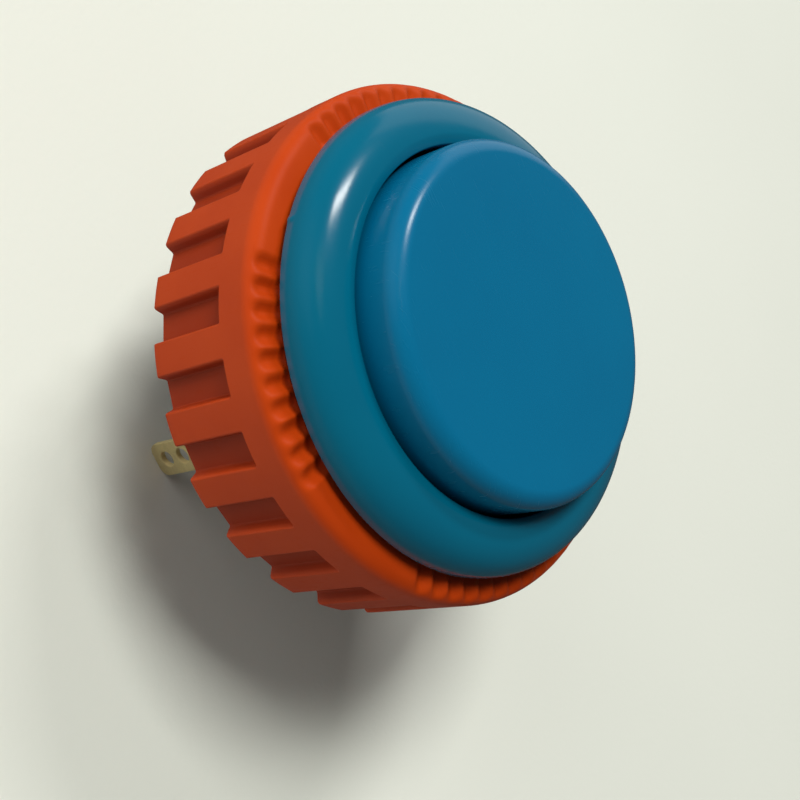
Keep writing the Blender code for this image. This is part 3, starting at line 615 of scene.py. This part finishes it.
def makeModule(part, tab):
    # an open box with a round back flange, two snap arms, a pin for the coil and a shelf under each foot
    block = roundedBox(part["halfX"], part["halfY"], part["corner"])
    piece = slab("switchBody", block, part["bottom"], part["top"], part["edge"])
    disc = filleted([
        (0, part["flangeTop"], 0), (part["flangeRadius"], part["flangeTop"], 0.15),
        (part["flangeRadius"], part["flangeBottom"], 0.35), (0, part["flangeBottom"], 0)], closed=False)
    flange = turnedPiece("flange", disc, part["steps"])
    side = filleted([
        (part["armBack"], part["flangeTop"] - 0.7, 0), (part["armFace"], part["flangeTop"] - 0.7, 0),
        (part["armFace"], part["hookBottom"], 0.1), (part["armHook"], part["hookBottom"], 0.06),
        (part["armHook"], part["hookTop"] - part["leadIn"], 0.1), (part["armFace"], part["hookTop"], 0.1),
        (part["armFace"] - part["leadIn"], part["armTip"], 0.15), (part["armBack"], part["armTip"], 0.15)])
    half = part["armWidth"] / 2
    arms = [
        movedMesh(slab("arm", side, -half, half, part["armEdge"], upright()), Matrix.Rotation(angle, 4, "Z"))
        for angle in (0, np.pi)]
    combine(piece, "UNION", flange, *arms)
    inner = roundedBox(part["halfX"] - part["wall"], part["halfY"] - part["wall"], part["corner"] / 2)
    combine(piece, "DIFFERENCE", slab("cavity", inner, part["floorTop"], part["top"] + 1.0, 0.02))
    rooted = part["floorTop"] - 0.6  # what stands on the floor starts a little inside it
    joined = [slab("pin", circlePath((0, 0), part["pinRadius"]), rooted, part["pinTop"], 0.15)]
    cuts = []
    right = tab["centreX"] + tab["width"] / 2
    for way in (-1, 1):
        wall = way * (part["halfY"] - part["wall"] / 2)
        ends = sorted((wall, way * tab["footIn"]))
        shelf = roundedBox((right - tab["footLow"]) / 2, (ends[1] - ends[0]) / 2, 0.1)
        shelf = shelf + np.array([(right + tab["footLow"]) / 2, sum(ends) / 2])
        joined.append(slab("shelf", shelf, rooted, part["shelfTop"], 0.02))
        hole = roundedBox(part["slotHalfX"], part["slotHalfY"], 0.08)
        hole = hole + np.array([tab["centreX"], way * tab["offsetY"]])
        cuts.append(slab("slot", hole, part["bottom"] - 1.0, tab["top"], 0.01))
    # shallow round marks left by the ejector pins on the back
    for x, y in part["marks"]:
        back = part["flangeBottom"] if abs(y) > part["halfY"] else part["bottom"]
        mark = circlePath((x, y), part["markRadius"])
        cuts.append(slab("mark", mark, back - 1.0, back + part["markDepth"], 0.01))
    combine(piece, "UNION", *joined)
    combine(piece, "DIFFERENCE", *cuts)
    return finished(piece, "housing", "black_plastic", "switch_housing")


makeModule(module, terminal)

returnCoil = {
    "radius": 1.7, "wire": 0.3, "turns": 4, "top": -15.5, "bottom": -19.0, "joint": "actuator_press",
    "anchor": -19.1, "keep": 0.389,
}
contactCoil = {
    "radius": 1.1, "wire": 0.25, "turns": 4, "top": -11.6, "bottom": -13.8, "joint": "bridge_lift",
    "anchor": -11.5, "keep": 0.696,
}


def makeCoil(name, body, node, part):
    # a round wire carried along a helix; the end turns close up as the rise eases in and out
    along = np.linspace(0, 1, part["turns"] * 40 + 1)
    eased = along - 0.55 / turn * np.sin(turn * along)
    low, high = part["bottom"] + part["wire"] / 2, part["top"] - part["wire"] / 2
    angle = turn * part["turns"] * along
    out = np.stack([np.cos(angle), np.sin(angle), 0 * angle], 1)
    line = part["radius"] * out
    line[:, 2] = low + (high - low) * eased
    ahead = np.gradient(line, axis=0)
    ahead /= np.linalg.norm(ahead, axis=1)[:, None]
    up = np.cross(ahead, out)
    around = np.linspace(0, turn, 12, endpoint=False)
    rings = out[:, None] * np.cos(around)[:, None] + up[:, None] * np.sin(around)[:, None]
    piece = gridObject(name, line[:, None] + rings * part["wire"] / 2, caps=True)
    finished(piece, body, "spring_steel", node)
    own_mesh(piece)


makeCoil("returnSpring", "housing", "return_spring", returnCoil)
makeCoil("contactSpring", "actuator", "contact_spring", contactCoil)

kept = {
    "switch_cover": "black_plastic", "actuator": "white_plastic", "contact_bridge": "copper_strip",
    "moving_contact_a": "contact_silver", "moving_contact_b": "contact_silver",
    "fixed_contact_a": "contact_silver", "fixed_contact_b": "contact_silver",
}
for node, slotName in kept.items():
    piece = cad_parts[node]
    piece.data.materials.clear()
    piece.data.materials.append(finishes[slotName])
print("pieces are made")

studio = {
    "floorTop": -27.85, "floorHalf": 1500.0, "paper": rgb(0.86, 0.875, 0.81),
    "paperShade": rgb(0.835, 0.85, 0.785),
    "key": (-0.49, -0.11, 0.865), "keyDistance": 0.9, "keySize": (0.28, 0.28), "keyPower": 6.0,
    "spark": (-0.49, 0.37, 0.79), "sparkDistance": 0.9, "sparkSize": (0.26, 0.09), "sparkPower": 2.3,
    "side": (-0.8, -0.4, 0.38), "sideDistance": 1.4, "sideSize": (1.0, 1.0), "sidePower": 4.8,
    "wall": (-0.35, 0.9, 0.18), "wallDistance": 1.5, "wallSize": (1.2, 1.2), "wallPower": 2.6,
    "skyColour": rgb(0.95, 0.93, 0.88), "sky": 0.08,
}


def makeFloor(part):  # a flat square at one height
    half, top = part["floorHalf"], part["floorTop"]
    line = np.linspace(-half, half, 3)
    x, y = np.meshgrid(line, line, indexing="ij")
    floor = gridObject("paperFloor", np.stack([x, y, np.full_like(x, top)], -1), wrapCols=False)
    if floor.data.polygons[0].normal.z < 0:
        floor.data.flip_normals()
    made = Finish("paper")
    cloud = made.ramp(made.noise(60.0, 3.0), 0.3, 0.7)
    fibre = made.noise(0.5, 4.0)
    material = made.shade(
        Base_Color=made.mix(cloud, part["paper"], part["paperShade"]), Roughness=0.85,
        Normal=made.relief(fibre, 0.02))
    floor.data.materials.append(material)
    floor.visible_glossy = False


def areaLight(name, part, colour, mirrored=True):  # a lamp that isn't mirrored is left out of reflections
    direction, distance, size, power = (part[name + key] for key in ("", "Distance", "Size", "Power"))
    light = bpy.data.lights.new(name, "AREA")
    light.shape, light.energy, light.color = "RECTANGLE", power, colour
    light.size, light.size_y = size
    lamp = bpy.data.objects.new(name, light)
    away = Vector(direction).normalized()
    lamp.location = away * distance
    lamp.rotation_euler = away.to_track_quat("Z", "Y").to_euler()
    lamp.visible_glossy = mirrored
    bpy.context.scene.collection.objects.link(lamp)


makeFloor(studio)
areaLight("key", studio, (0.98, 1.0, 0.94), mirrored=False)
areaLight("spark", studio, (1.0, 0.99, 0.96))
areaLight("side", studio, (1.0, 0.99, 0.96), mirrored=False)
areaLight("wall", studio, (0.97, 1.0, 1.0))
world = bpy.data.worlds.new("room")
world.use_nodes = True
background = world.node_tree.nodes["Background"]
background.inputs["Color"].default_value = studio["skyColour"]
background.inputs["Strength"].default_value = studio["sky"]
bpy.context.scene.world = world
bpy.context.scene.view_settings.view_transform = "Standard"

view = {
    "place": (-19.931, -68.082, 60.509), "right": (0.425, 0.5677, 0.7051), "up": (-0.8741, 0.4597, 0.1567),
    "forward": (0.2351, 0.6829, -0.6916), "lens": 60.3,
}
camera = bpy.data.cameras.new("camera")
camera.lens, camera.sensor_width, camera.clip_start, camera.clip_end = view["lens"], 36.0, 0.005, 10.0
cameraObject = bpy.data.objects.new("camera", camera)
right, up, forward = (Vector(view[key]) for key in ("right", "up", "forward"))
axes = Matrix((right, up, -forward)).transposed()
cameraObject.matrix_world = Matrix.Translation(Vector(view["place"]) * mm) @ axes.to_4x4()
bpy.context.scene.collection.objects.link(cameraObject)
bpy.context.scene.camera = cameraObject
print("stage is set")
